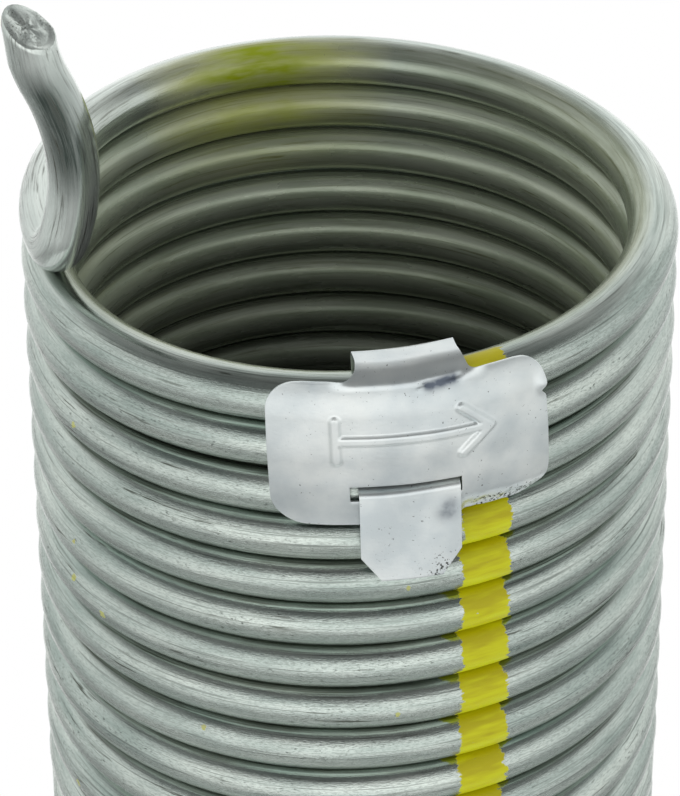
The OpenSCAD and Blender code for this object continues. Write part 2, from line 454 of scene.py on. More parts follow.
# 1 on the top of the wire, -1 below it
upward = add(tree, "Math", {"operation": "DIVIDE"}, split.outputs[2], wire_r)
# from 0 on the coil's inside to 1 on its outside
out_share = add(tree, "Math", {"operation": "MULTIPLY_ADD"}, outward, 0.5, 0.5)
turn_of = add(tree, "Attribute", {"attribute_name": "turn"}).outputs["Fac"]
print("material", steel.name, "starts with", len(tree.nodes), "nodes")

# %% Patterns on the wire
draw_marks = pattern(tree, where, (1 / 18, 1 / 0.26, 1 / 0.26), 4.0, 0.62)
grain = pattern(tree, where, (1 / 0.6, 1 / 0.12, 1 / 0.12), 3.0, 0.65, offset=13.0)
pits = pattern(tree, where, (1 / 0.8, 1 / 0.30, 1 / 0.30), 3.0, 0.6, offset=3.0)
patches = pattern(tree, where, (1 / 20, 1 / 3.0, 1 / 3.0), 3.0, 0.6, offset=11.0)
long_marks = pattern(tree, where, (1 / 11, 1 / 0.55, 1 / 0.55), 3.0, 0.65, offset=51.0)
die_marks = pattern(tree, where, (1 / 7, 1 / 0.2, 1 / 0.2), 4.0, 0.7, offset=61.0)
scuffed = add(tree, "ValToRGB", {"stops": [(0.42, 0.0), (0.62, 1.0)]},
              pattern(tree, where, (1 / 14, 1 / 5, 1 / 5), 2.0, 0.5, offset=21.0))
print("patterns laid along the wire:", sum(node.type == "TEX_NOISE" for node in tree.nodes))

# %% [markdown]
# The coat's own grey is a pale green-grey that varies in patches as long as a finger. Over it lie the
# dark draw marks, a fine dark grain that shows where the crests have been rubbed, and pits in the
# scuffed places.

# %% Colour of the coat
crest = add(tree, "ValToRGB", {"stops": [(0.74, 0.0), (0.95, 1.0)]}, out_share)
rubbed = add(tree, "Math", {"operation": "MULTIPLY_ADD"}, crest, 0.8, 0.2)
scratch = add(tree, "Math", {"operation": "MULTIPLY"},
              add(tree, "ValToRGB", {"stops": [(0.32, 1.0), (0.46, 0.0)]}, draw_marks), 0.62)
pitted = add(tree, "Math", {"operation": "MULTIPLY"},
             add(tree, "ValToRGB", {"stops": [(0.3, 1.0), (0.42, 0.0)]}, pits),
             add(tree, "Math", {"operation": "MULTIPLY"}, rubbed, scuffed))
granular = add(tree, "Math", {"operation": "MULTIPLY"},
               add(tree, "ValToRGB", {"stops": [(0.36, 1.0), (0.54, 0.0)]}, grain),
               add(tree, "Math", {"operation": "MULTIPLY"}, rubbed, 0.34))
dark = add(tree, "Math", {"operation": "MAXIMUM"}, add(tree, "Math", {"operation": "MAXIMUM"}, scratch, granular),
           add(tree, "Math", {"operation": "MULTIPLY"}, pitted, 0.85))
tone = add(tree, "ValToRGB", {"stops": [(0.3, "#aebdb6"), (0.5, "#d2ddd6"), (0.7, "#e9f2ea")]}, patches)
coat_colour = add(tree, "Mix", {"data_type": "RGBA"}, _0=dark, _6=tone, _7=linear("#4c554e")).outputs[2]
print(len(tree.nodes), "nodes with the coat's colour")

# %% [markdown]
# ## Dirt and painted shade on the wire
# Each turn is dark along its lower side and, in a thinner line, along its upper side, but not below the
# first turn or above the last, where nothing touches it. This darkening is partly oil and dust, which
# collect where two turns meet, and partly painted shade in the grooves and under each turn. The dark line
# wanders with the marks. The top turn is also worn along its upper side, and long dark streaks cross the
# scuffed places. Ambient occlusion could find the grooves, but it would lay an even shade; the stored
# turn and the place round the wire say where the metal touched.

# %% Dirt and painted shade between the turns
end_reach = 0.04 / turns  # as a share of all turns
from_ends = add(tree, "ValToRGB", {"stops": [(0.0, 0.0), (end_reach, 1.0), (1 - end_reach, 1.0), (1.0, 0.0)]},
                add(tree, "Math", {"operation": "MULTIPLY"}, turn_of, 1 / turns))
below_it = add(tree, "Math", {"operation": "MULTIPLY"}, from_ends,
               add(tree, "Math", {"operation": "MULTIPLY_ADD", "use_clamp": True}, turn_of, 5.0, -4.0))
above_it = add(tree, "Math", {"operation": "MULTIPLY"}, from_ends,
               add(tree, "Math", {"operation": "MULTIPLY_ADD", "use_clamp": True}, turn_of, -5.0,
                   5.0 * turns - 4.0))
uneven = add(tree, "Math", {"operation": "MULTIPLY_ADD"},
             add(tree, "Math", {"operation": "SUBTRACT"}, draw_marks, 0.5), 0.25,
             add(tree, "Math", {"operation": "MULTIPLY"},
                 add(tree, "Math", {"operation": "SUBTRACT"}, patches, 0.5), 0.35))
# low_side darkens each turn's lower side and high_side a thin line along its upper side: dirt, and painted shade
# in the grooves
low_side = add(tree, "ValToRGB",
               {"stops": [(0.0, 0.05), (0.22, 0.28), (0.48, 0.36), (0.58, 0.8), (0.68, 0.1), (0.95, 0.0)]},
               add(tree, "Math", {"operation": "SUBTRACT"}, uneven, upward))
high_side = add(tree, "ValToRGB", {"stops": [(0.8, 0.0), (0.92, 0.85), (0.99, 0.95)]},
                add(tree, "Math", {"operation": "ADD"}, uneven, upward))
grime_and_shade = add(tree, "Math", {"operation": "MAXIMUM"},
            add(tree, "Math", {"operation": "MULTIPLY"}, low_side, below_it),
            add(tree, "Math", {"operation": "MULTIPLY"}, high_side, above_it))
dusty = add(tree, "Math", {"operation": "MULTIPLY"}, from_ends,
            add(tree, "ValToRGB", {"stops": [(0.28, 1.0), (0.52, 0.0)]}, out_share))
grime_and_shade = add(tree, "Math", {"operation": "MULTIPLY"}, grime_and_shade,
            add(tree, "Math", {"operation": "MULTIPLY_ADD"}, dusty, -0.7, 1.0))
grime_and_shade = add(tree, "Math", {"operation": "MULTIPLY", "use_clamp": True}, grime_and_shade,
            add(tree, "Math", {"operation": "MULTIPLY_ADD"}, draw_marks, 0.8, 0.45))
print(len(tree.nodes), "nodes with the dirt between the turns")

# %% Worn top turn and streaks
top_turn = add(tree, "Math", {"operation": "MULTIPLY_ADD", "use_clamp": True}, turn_of, 2.5, 3.0 - 2.5 * turns)
top_wear = add(tree, "Math", {"operation": "MULTIPLY"},
               add(tree, "ValToRGB", {"stops": [(0.25, 0.0), (0.6, 0.26)]},
                   add(tree, "Math", {"operation": "ADD"}, upward, uneven)),
               add(tree, "Math", {"operation": "MULTIPLY"}, from_ends, top_turn))
grime_and_shade = add(tree, "Math", {"operation": "MAXIMUM"}, grime_and_shade,
            add(tree, "Math", {"operation": "MULTIPLY"}, top_wear,
                add(tree, "ValToRGB", {"stops": [(0.42, 1.0), (0.58, 0.0)]}, long_marks)))
streaks = add(tree, "Math", {"operation": "MULTIPLY"},
              add(tree, "ValToRGB", {"stops": [(0.31, 0.8), (0.39, 0.0)]}, long_marks),
              add(tree, "Math", {"operation": "MULTIPLY_ADD"}, scuffed, 0.7, 0.3))
grime_and_shade = add(tree, "Math", {"operation": "MAXIMUM"}, grime_and_shade, streaks)
print(len(tree.nodes), "nodes with wear and streaks")

# %% [markdown]
# ## The bent ends
# The hooks were formed in a tool after winding, which left fine dark marks along one side. Their coat is
# painted paler than the coil's, a painted highlight, and a soft dark band down one flank is a painted
# dark reflection.

# %% Painted highlight and marks on the hooks
bent = add(tree, "Math", {"operation": "SUBTRACT"}, 1.0, from_ends)
# painted highlight: the hooks' coat is lifted towards #eef5f0
coat_colour = add(tree, "Mix", {"data_type": "RGBA"}, _0=add(tree, "Math", {"operation": "MULTIPLY"}, bent, 0.6),
                  _6=coat_colour, _7=linear("#eef5f0")).outputs[2]
worn_side = add(tree, "ValToRGB", {"stops": [(0.46, 0.15), (0.6, 1.0)]},
                pattern(tree, where, (1 / 12, 1 / 2.5, 1 / 2.5), 2.0, offset=71.0))
grime_and_shade = add(tree, "Math", {"operation": "MAXIMUM"}, grime_and_shade,
            add(tree, "Math", {"operation": "MULTIPLY"},
                add(tree, "Math", {"operation": "MULTIPLY"}, bent, worn_side),
                add(tree, "ValToRGB", {"stops": [(0.36, 0.85), (0.5, 0.12)]}, die_marks)))
# painted dark reflection: the band down the hook's flank is mixed towards #59655f
dark_reflection = add(tree, "Attribute", {"attribute_name": "flank"}).outputs["Fac"]
dark_reflection = add(tree, "Math", {"operation": "MULTIPLY", "use_clamp": True}, dark_reflection,
                 add(tree, "Math", {"operation": "MULTIPLY_ADD"}, die_marks, 1.8, 0.05))
coat_colour = add(tree, "Mix", {"data_type": "RGBA"}, _0=dark_reflection, _6=coat_colour,
                  _7=linear("#59655f")).outputs[2]
print(len(tree.nodes), "nodes with the hooks' marks")

# %% [markdown]
# ## Dust and painted shade inside the coil
# The bore is never wiped, so its walls keep an olive film of dust and dried oil. Deeper in the bore the
# film is laid on thicker and darker, as painted shade where little light reaches. Dust is not a metal, so
# the film also takes away some of the shine.

# %% Dirt, painted shade and dust over the coat
# grime_and_shade darkens the coat towards #3c3d30: dirt and wear, and painted shade in the grooves between turns
steel_colour = add(tree, "Mix", {"data_type": "RGBA"}, _0=grime_and_shade, _6=coat_colour, _7=linear("#3c3d30")).outputs[2]
# painted shade: the film grows darker and covers more the deeper the turn lies in the bore
deep_shade = add(tree, "Math", {"operation": "MULTIPLY"}, dusty,
           add(tree, "Math", {"operation": "MULTIPLY_ADD", "use_clamp": True}, turn_of, -0.2, 18.3))
dust_and_shade_colour = add(tree, "Mix", {"data_type": "RGBA"}, _0=deep_shade, _6=linear("#858b5c"),
                  _7=linear("#45473a")).outputs[2]
dust_and_shade_cover = add(tree, "Math", {"operation": "MULTIPLY_ADD"}, deep_shade, 0.3,
                 add(tree, "Math", {"operation": "MULTIPLY"}, dusty, 0.5))
steel_colour = add(tree, "Mix", {"data_type": "RGBA"}, _0=dust_and_shade_cover, _6=steel_colour,
                   _7=dust_and_shade_colour).outputs[2]
print(len(tree.nodes), "nodes with the dust")

# %% Roughness and relief of the wire
dulled = add(tree, "Math", {"operation": "MAXIMUM"}, grime_and_shade,
             add(tree, "Math", {"operation": "MULTIPLY"}, dusty, 0.75))
plain_rough = add(tree, "Math", {"operation": "MULTIPLY_ADD"}, crest, 0.07,
                  add(tree, "Math", {"operation": "MULTIPLY_ADD"}, patches, 0.08, 0.07))
steel_rough = add(tree, "Math", {"operation": "MULTIPLY_ADD"}, dulled, 0.22, plain_rough)
steel_metal = add(tree, "Math", {"operation": "MULTIPLY_ADD"},
                  add(tree, "Math", {"operation": "MAXIMUM"}, dusty,
                      add(tree, "Math", {"operation": "MULTIPLY"}, bent, 0.5)),
                  -0.35, 1.0)
relief = add(tree, "Math", {"operation": "MULTIPLY_ADD"},
             add(tree, "Math", {"operation": "MULTIPLY"}, grain, rubbed), 1.0,
             add(tree, "Math", {"operation": "MULTIPLY"}, draw_marks, 0.35))
grain_height = 0.06 * MM
bump = add(tree, "Bump", Height=relief, Strength=0.6, Distance=grain_height)
tangent = add(tree, "Tangent", {"direction_type": "UV_MAP", "uv_map": "wire_uv"})
print("relief of the grain:", round(grain_height / MM, 3), "mm")

# %% [markdown]
# ## The paint on the wire
# Makers brush a stripe of paint down the coil: it names the wire size and shows how far the spring has
# been wound. It could be a thin mesh of its own, but it is thin enough to be a mask in the wire's
# material, ragged at the crests where the brush skipped and drawn out to points in the grooves where
# the paint ran. Degrees round the coil's axis say where the stripe lies.

# %% Paint stripe
at_place = add(tree, "TexCoord").outputs["Object"]
from_axis = add(tree, "SeparateXYZ", Vector=at_place)
azimuth_at = add(tree, "Math", {"operation": "DEGREES"},
                 add(tree, "Math", {"operation": "ARCTAN2"}, from_axis.outputs[1], from_axis.outputs[0]))
stripe_azimuth = -66.0
stripe_half = 3.1
run_out = 2.6  # how far the paint ran along the groove, in millimetres
mm_per_degree = math.radians(1) * (mean_r + wire_r)
off_stripe = add(tree, "Math", {"operation": "MULTIPLY"},
                 add(tree, "Math", {"operation": "SUBTRACT"}, azimuth_at, stripe_azimuth), mm_per_degree)
ragged = pattern(tree, where, (1 / 1.6, 1 / 0.8, 1 / 0.8), 4.0, 0.7, offset=5.0)
in_groove = add(tree, "Math", {"operation": "POWER"},
                add(tree, "Math", {"operation": "MAXIMUM"},
                    add(tree, "Math", {"operation": "MULTIPLY"}, upward, -1.0), 0.0),
                4.0)
width = add(tree, "Math", {"operation": "MULTIPLY_ADD"}, in_groove, run_out,
            add(tree, "Math", {"operation": "MULTIPLY_ADD"},
                add(tree, "Math", {"operation": "SUBTRACT"}, ragged, 0.5), 2.4, stripe_half))
within = add(tree, "Math", {"operation": "SUBTRACT"}, width,
             add(tree, "Math", {"operation": "ABSOLUTE"}, off_stripe))
facing = add(tree, "ValToRGB", {"stops": [(0.3, 0.0), (0.4, 1.0)]}, out_share)
stripe = add(tree, "Math", {"operation": "MULTIPLY"},
             add(tree, "Math", {"operation": "MULTIPLY", "use_clamp": True}, within, 6.0), facing)
print("stripe", 2 * stripe_half, "mm wide at", stripe_azimuth, "degrees")

# %% [markdown]
# Some of the paint was sprayed. A thin green-yellow mist lies on the inside of the top two turns, at
# the back, and a few drops are spattered down the front. The mist is a soft mask broken up by noise;
# each drop is the space near one seeded point, made uneven by noise so that it isn't a disc.

# %% Overspray
mist_azimuth, mist_half = 110.0, 31.0  # degrees
off_mist = add(tree, "Math", {"operation": "ABSOLUTE"},
               add(tree, "Math", {"operation": "SUBTRACT"}, azimuth_at, mist_azimuth))
mist = add(tree, "Math", {"operation": "MULTIPLY"},
           add(tree, "ValToRGB", {"stops": [(0.2, 1.0), (0.95, 0.0)]},
               add(tree, "Math", {"operation": "DIVIDE"}, off_mist, mist_half)),
           add(tree, "ValToRGB", {"stops": [(0.1, 0.0), (0.4, 0.22), (0.58, 0.6), (0.75, 1.0)]},
               add(tree, "Math", {"operation": "MULTIPLY_ADD"}, turn_of, 0.25, -22.875)))
inner_side = add(tree, "ValToRGB", {"stops": [(0.34, 1.0), (0.6, 0.0)]}, out_share)
broken_up = add(tree, "Math", {"operation": "MULTIPLY_ADD"},
                pattern(tree, where, (1 / 9, 1 / 2, 1 / 2), 3.0, offset=31.0), 1.6, 0.05)
mist = add(tree, "Math", {"operation": "MULTIPLY", "use_clamp": True},
           add(tree, "Math", {"operation": "MULTIPLY"}, mist, inner_side), broken_up)
print("overspray", 2 * mist_half, "degrees wide, around", mist_azimuth, "degrees")

# %% Spatter
drop_count, drop_seed = 14, 12
drops = np.random.default_rng(drop_seed)
blur = pattern(tree, where, (1 / 0.5, 1 / 0.3, 1 / 0.3), 2.0, offset=17.0)
spatter = 0.0
for k in range(drop_count):
    drop_turn = turns - drops.uniform(0.8, 15.0)
    where_turn = math.floor(drop_turn) + (drops.uniform(-170, -75) + 180) / 360
    around_wire = math.radians(drops.uniform(-12, 38))
    line = coil_line(where_turn)
    outwards = np.array([line[0], line[1], 0]) / mean_r
    spot_at = (line + wire_r * (math.cos(around_wire) * outwards + math.sin(around_wire) * up)) * MM
    far = add(tree, "VectorMath", {"operation": "DISTANCE"}, at_place, tuple(spot_at)).outputs["Value"]
    size = drops.uniform(0.25, 0.55) * MM
    drop = add(tree, "Math", {"operation": "GREATER_THAN"},
               add(tree, "Math", {"operation": "MULTIPLY"}, blur, 2.0 * size), far)
    spatter = add(tree, "Math", {"operation": "MAXIMUM"}, spatter, drop)
print("drops of paint:", drop_count)

# %% Paint over the steel
paint = add(tree, "Math", {"operation": "MAXIMUM"}, stripe,
            add(tree, "Math", {"operation": "MAXIMUM"}, mist,
                add(tree, "Math", {"operation": "MULTIPLY"}, spatter, 0.6)))
flaked = add(tree, "ValToRGB", {"stops": [(0.27, 0.0), (0.3, 1.0)]},
             pattern(tree, where, (1 / 1.1, 1 / 0.7, 1 / 0.7), 4.0, 0.7, offset=41.0))
paint = add(tree, "Math", {"operation": "MULTIPLY"}, paint, flaked)
paint_tone = pattern(tree, where, (1 / 6, 1 / 1.0, 1 / 1.0), 2.0, offset=9.0)
paint_colour = add(tree, "ValToRGB", {"stops": [(0.25, "#d2d815"), (0.5, "#cccb06"), (0.75, "#b7ae02")]},
                   add(tree, "Math", {"operation": "MULTIPLY_ADD"}, upward, 0.3, paint_tone))
paint_colour = add(tree, "Mix", {"data_type": "RGBA"}, _0=mist, _6=paint_colour,
                   _7=linear("#8a9900")).outputs[2]
paint_rough = 0.38
colour = add(tree, "Mix", {"data_type": "RGBA"}, _0=paint, _6=steel_colour, _7=paint_colour).outputs[2]
rough = add(tree, "Mix", _0=paint, _2=steel_rough, _3=paint_rough)
metal = add(tree, "Math", {"operation": "MULTIPLY"}, add(tree, "Math", {"operation": "SUBTRACT"}, 1.0, paint),
            steel_metal)
surface = add(tree, "BsdfPrincipled", Base_Color=colour, Roughness=rough, Metallic=metal,
              Anisotropic=0.2, Specular_IOR_Level=0.35, Normal=bump, Tangent=tangent)
add(tree, "OutputMaterial", Surface=surface)
spring.data.materials.append(steel)
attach(spring, "root")
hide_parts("spring")
print(len(tree.nodes), "nodes in", steel.name)

# %% [markdown]
# ## The aluminium tag
# The tag is one strip of soft sheet, 0.3 mm thick: a stamped plate with a slot, and a strap bent over
# the top turn, down the inside, out between two turns and through the slot, where it turns down as a
# tab. A Solidify modifier on a flat grid would be quick, but the bends are tight, so a turtle draws
# the strip's section as it was folded, and both faces of the sheet are built from it.

# %% Sizes of the tag
sheet_t = 0.3
tag_clear = 0.12  # between the strap and the wire that it lies on
plate_clear = 0.26  # between the plate and the coil
strap_gap = 0.06  # on each side of the strap where it passes between two turns
tag_azimuth = math.radians(-79.5)
plate_w = 32.0
plate_corner = 3.8
strap_w = 11.8
root_flare = 1.6  # how much wider the strap is where it leaves the plate
root_run = 3.8
fold_r = 1.1
fold_run = 1.6  # straight piece after the fold
arch_r = 2.4
ridge_r = 0.9
under_r, slot_r = 0.5, 0.4  # bends at the bottom of the inside run and at the slot
strap_slope = math.radians(24)
ridge_slope = math.radians(6)
hug = math.radians(25)
tab_l = 10.9
tab_cut_w, tab_cut_l = 2.3, 3.1
face_r = ring_r + wire_r + plate_clear
back_r = ring_r - wire_r - tag_clear
top_turn_z = pitch * math.cos(tilt)
root_z = top_turn_z + wire_r - 0.52  # the plate's upper edge; heights start at the second turn's middle
plate_low = -(pitch + spread) * math.cos(tilt) - wire_r + 0.5
under_z = -wire_r - strap_gap
slot_top = under_z - 0.62
slot_low = slot_top - 1.9
slot_left, slot_right = -strap_w / 2 - 1.45, strap_w / 2 - 0.5
print("plate", plate_w, "mm wide, strap", strap_w, "mm, slot", round(slot_right - slot_left, 2), "mm")

# %% Section of the folded strip

class Strip:
    """Follows the sheet's wire side; its other face lies to the right of the way it goes. A row holds the
    radius and height of a point, the way out of the sheet, and the length so far."""

    def __init__(self, r, z):
        self.at, self.way, self.gone, self.rows = np.array([r, z]), math.pi / 2, 0.0, []

    def mark(self, step=0.0):
        self.gone += step
        self.rows.append((*self.at, math.sin(self.way), -math.cos(self.way), self.gone))

    def run(self, length, steps):
        for k in range(steps):
            self.at = self.at + length / steps * np.array([math.cos(self.way), math.sin(self.way)])
            self.mark(length / steps)

    def curl(self, radius, angle, steps):
        """Turns left for a positive angle, with that radius on the sheet's inner side of the bend."""
        size = radius if angle > 0 else radius + sheet_t
        sign = 1 if angle > 0 else -1
        for k in range(steps):
            middle = self.at + sign * size * np.array([-math.sin(self.way), math.cos(self.way)])
            self.way += angle / steps
            self.at = middle - sign * size * np.array([-math.sin(self.way), math.cos(self.way)])
            self.mark(size * abs(angle) / steps)


print("sheet", sheet_t, "mm thick; its tightest bend is", min(fold_r, ridge_r, under_r, slot_r), "mm inside")

# %% Folds of the strip
strip = Strip(face_r, root_z)
strip.mark()
strip.curl(fold_r, math.pi / 2 - strap_slope, 10)
bent_by = strip.gone
strip.run(fold_run, 10)
strip.curl(arch_r, strap_slope + ridge_slope, 8)
strip.run((strip.at[0] - back_r - ridge_r * (1 - math.sin(ridge_slope))) / math.cos(ridge_slope), 8)
strip.curl(ridge_r, math.pi / 2 - ridge_slope, 10)
strip.run(strip.at[1] - under_z - under_r, 16)
strip.curl(under_r, math.pi / 2, 6)
strip.run(ring_r - back_r - under_r, 8)
strip.curl(wire_r + strap_gap, -hug, 5)
strip.run((wire_r + plate_clear + sheet_t + tag_clear - slot_r - (wire_r + strap_gap + sheet_t) * math.sin(hug)
           + (sheet_t + slot_r) * math.sin(hug)) / math.cos(hug), 8)
strip.curl(slot_r, hug - math.pi / 2, 8)
tab_start = strip.gone
strip.run(tab_l, 60)
strap_rows = np.array(strip.rows)
print("strap has", len(strap_rows), "rows; tab ends at z", round(strap_rows[-1, 1], 2), "mm in the tag's frame")

# %% [markdown]
# ## One grid for the whole sheet
# The plate and the strap could be two meshes, but the real ones are one sheet, and a seam would show.
# So the whole tag is one grid. Its rows climb the plate and then follow the strap; its columns fall on
# the slot's edges. Beyond the plate's top edge only the strap's columns go on, and they draw together
# in the two hollow curves where the strap leaves the plate.

# %% Grid lines of the sheet
def lines(low, high, step, exact):
    """Evenly spaced lines that keep clear of the exact ones."""
    even = np.arange(low, high + step / 2, step)
    kept = [x for x in even if min(abs(x - e) for e in exact) > 0.4 * step]
    return np.array(sorted(set(np.round(list(kept) + list(exact), 5))))


strap_half = strap_w / 2 + root_flare
cell = 0.18  # millimetres, fine enough for the stamped mark
columns = lines(-plate_w / 2, plate_w / 2, cell,
                (-plate_w / 2, plate_w / 2, slot_left, slot_right, -strap_half, strap_half))
plate_top = root_z + bent_by
corner_rows = plate_low + plate_corner * (1 - np.cos(np.linspace(0, math.pi / 2, 13)))
levels = lines(corner_rows[-1] + 0.15, root_z, cell, (slot_low, slot_top, root_z))
levels = np.concatenate([corner_rows, levels[levels > corner_rows[-1] + 0.05]])
sheet_run = np.concatenate([levels, root_z + strap_rows[1:, 4]])
print("sheet grid:", len(columns), "by", len(sheet_run))


def half_width(z):
    """Half the plate's width at a height, with its rounded corners."""
    into = np.maximum(np.maximum(plate_low + plate_corner - z, z - plate_top + plate_corner), 0)
    return plate_w / 2 - plate_corner + np.sqrt(np.maximum(plate_corner ** 2 - into ** 2, 0))


# %% [markdown]
# The stamped mark is a plain winding arrow, raised by a punch from behind, with flat tops and steep
# sides. It could be a bump in the material, but a stamp catches the light along its edges and shows
# from the side, so it is pressed into the mesh. The sheet is also a little wavy, creased under the
# strap, bowed, and pressed in along its lower right edge, as soft sheet is after someone has folded it
# round a spring by hand.

# %% Shape pressed into the sheet
arrow_z = top_turn_z / 2 - 0.6
barb = 4.4 * np.array([math.cos(math.radians(42)), math.sin(math.radians(42))])
tail, point, tail_bar = -8.6, 9.0, 2.6
strokes = [((tail, 0.0), (point, 0.0)), ((tail, -tail_bar), (tail, tail_bar)),
           ((point, 0.0), (point - barb[0], barb[1])), ((point, 0.0), (point - barb[0], -barb[1]))]
mark_height = 0.36


def stroke_distance(x, y, start, end):
    """How far a point lies from a straight stroke."""
    ax, ay = start
    dx, dy = end[0] - ax, end[1] - ay
    share = np.clip(((x - ax) * dx + (y - ay) * dy) / (dx * dx + dy * dy), 0, 1)
    return np.hypot(x - ax - share * dx, y - ay - share * dy)


def dent(x, z, start, end, width):
    """A narrow dent between two points, 1 at its middle and 0 outside."""
    return np.exp(-(stroke_distance(x, z, start, end) / width) ** 2)


def pressed(x, z):
    """Height of the sheet over its plain shape, in millimetres."""
    near = np.min([stroke_distance(x, z - arrow_z, a, b) for a, b in strokes], axis=0)
    mark = mark_height * smooth((0.66 - near) / 0.26)
    wave = 0.05 * np.sin(0.33 * x + 0.9) * np.cos(0.29 * z - 0.4) + 0.02 * np.sin(0.9 * x - 0.5 * z)
    crease = (-0.22 * dent(x, z, (1.4, root_z + 0.10), (5.8, root_z + 0.65), 0.60) * smooth((x - 0.4) / 2.0)
              - 0.10 * dent(x, z, (1.0, root_z - 0.35), (2.8, root_z - 0.25), 0.20))
    low_edge = -1.0 * smooth((plate_low + 2.8 - z) / 2.8) ** 1.5 * smooth((x - strap_w / 2 + 1.2) / 1.4)
    top_lean = -0.32 * smooth((z - 5.2) / 4.2)
    ripples = (0.05 * smooth((plate_low + 2.6 - z) / 1.2) * smooth((x - 6.0) / 1.0)
               * np.sin(2.1 * x + 0.8 * np.sin(1.7 * x) - 2.3 * z))
    flick = 0.45 * smooth((x - 14.4) / 1.4) * np.exp(-((z - 5.6) / 1.1) ** 2)
    bow = 0.5 * smooth((8.6 - z) / 9.0) - 0.25 * smooth((-3.0 - z) / 6.0)
    return mark + wave + crease + low_edge + top_lean + ripples + flick + bow


print("arrow", round(point - tail, 1), "mm long, raised", mark_height, "mm")

# %% [markdown]
# ## From the flat grid to the folded sheet
# Each grid point first gets its place across the sheet: the plate's rounded corners, a small torn notch
# in its edge, the flare at the strap's root, and the two cut corners of the tab. Then the plate's
# points wrap round the coil and the strap's follow the folded section, with a short blend between.

# %% Outline of the sheet
def in_tag_frame(u, r, z, nr, nz):
    """Turns width, radius and height into points and outward normals in the tag's own frame."""
    x = np.sqrt(np.maximum(r ** 2 - u ** 2, 1.0))
    return np.stack([x, u, z + 0 * x], -1), np.stack([nr * x / r, nr * u / r, nz + 0 * x], -1)


grid_u, grid_run = np.meshgrid(columns, sheet_run)
past_root = np.maximum(grid_run - root_z, 0)
flare = np.clip(1 - (grid_run - plate_top) / root_run, 0, 1)
strap_edge = strap_w / 2 + np.where(grid_run < plate_top, root_flare,
                                    root_flare * (1 - np.sqrt(np.maximum(1 - flare ** 2, 0))))
tab_run = np.clip(past_root - tab_start, 0, None)
strap_edge = strap_edge - np.clip(tab_run - (tab_l - tab_cut_l), 0, None) * tab_cut_w / tab_cut_l
edge = half_width(np.minimum(grid_run, plate_top))
notch_depth, notch_z = 0.55, 4.7
notch = notch_depth * np.exp(-((grid_run - notch_z) / 0.5) ** 2) * (grid_u > 0)
beyond = np.maximum(np.abs(grid_u) - strap_half, 0) / (plate_w / 2 - strap_half)
sheet_u = np.sign(grid_u) * (np.minimum(np.abs(grid_u), strap_half) / strap_half * strap_edge
                             + beyond * (edge - notch - strap_half))
print("sheet is", round(float(sheet_u.max() - sheet_u.min()), 2), "mm across at its widest")

# %% Points of the sheet
flat, flat_out = in_tag_frame(sheet_u, face_r, grid_run, 1.0, 0.0)
rows = np.clip(np.arange(len(sheet_run)) - len(levels) + 1, 0, None)
bent_r, bent_z = strap_rows[rows, 0:1] + 0 * grid_u, strap_rows[rows, 1:2] + 0 * grid_u
rows_inside = 60  # rows of the strap up to its bottom bend
tab_lean = math.radians(5)
bent_r += 0.5 * (rows > rows_inside)[:, None] * smooth((bent_r - 38.0) / 1.8)
bent_r += math.tan(tab_lean) * tab_run
bent, bent_out = in_tag_frame(sheet_u, bent_r, bent_z, strap_rows[rows, 2:3], strap_rows[rows, 3:4])
share = smooth((9.6 - np.abs(sheet_u)) / 3.4)
share = share + (1 - share) * smooth((grid_run - plate_top) / 2.0)
share = np.where(grid_run > root_z, share, 0.0)[..., None]
base = flat + share * (bent - flat)
outward_way = flat_out + share * (bent_out - flat_out)
outward_way /= np.linalg.norm(outward_way, axis=-1)[..., None]

fades = 1 - smooth((past_root - 0.9) / 2.0)
on_tab = smooth((past_root - tab_start + 1.0) / 1.0)
lift = pressed(sheet_u, np.where(on_tab > 0, bent_z, grid_run)) * fades
lift += on_tab * 0.05 * np.sin(0.5 * sheet_u + 0.35 * tab_run)
rows_on_top = 37  # rows of the strap over the top turn
lift += (0.05 * np.sin(0.6 * sheet_u + 0.9 * grid_run) * smooth((past_root - 0.4) / 2) * (1 - on_tab)
         * (rows < rows_on_top)[:, None])
sheet_under = base + lift[..., None] * outward_way
sheet_over = base + (lift + sheet_t)[..., None] * outward_way
print("dents and marks lift the sheet from", round(float(lift.min()), 2), "to", round(float(lift.max()), 2), "mm")

# %% [markdown]
# ## Faces of the sheet
# The fold was made by hand, so the plate sits a degree or two off square and the tab leans. Then the
# cells of the grid become faces, except in the slot and beside the strap. The edges that only one face
# uses are the sheet's rim: narrow faces as thick as the sheet close them, and a fine bevel keeps the
# rim from looking razor sharp.

# %% Lean of the loose parts
loose_from, tab_shift = 37.2, 1.1
for side_points in (sheet_under, sheet_over):
    loose_r = np.hypot(side_points[..., 0], side_points[..., 1])
    swing = smooth((loose_r - loose_from) / 2.0)
    side_points[..., 2] += swing * (0.1 - 0.03 * sheet_u)
    side_points[..., 1] += (0.45 * smooth((past_root - 0.3) / 2.5)
                            - tab_shift * smooth((past_root - tab_start) / 9.0 + 1.0) - 0.4 * tab_run / tab_l)
print("the tab ends", round(float(sheet_over[-1, :, 0].mean()), 2), "mm from the coil's axis")

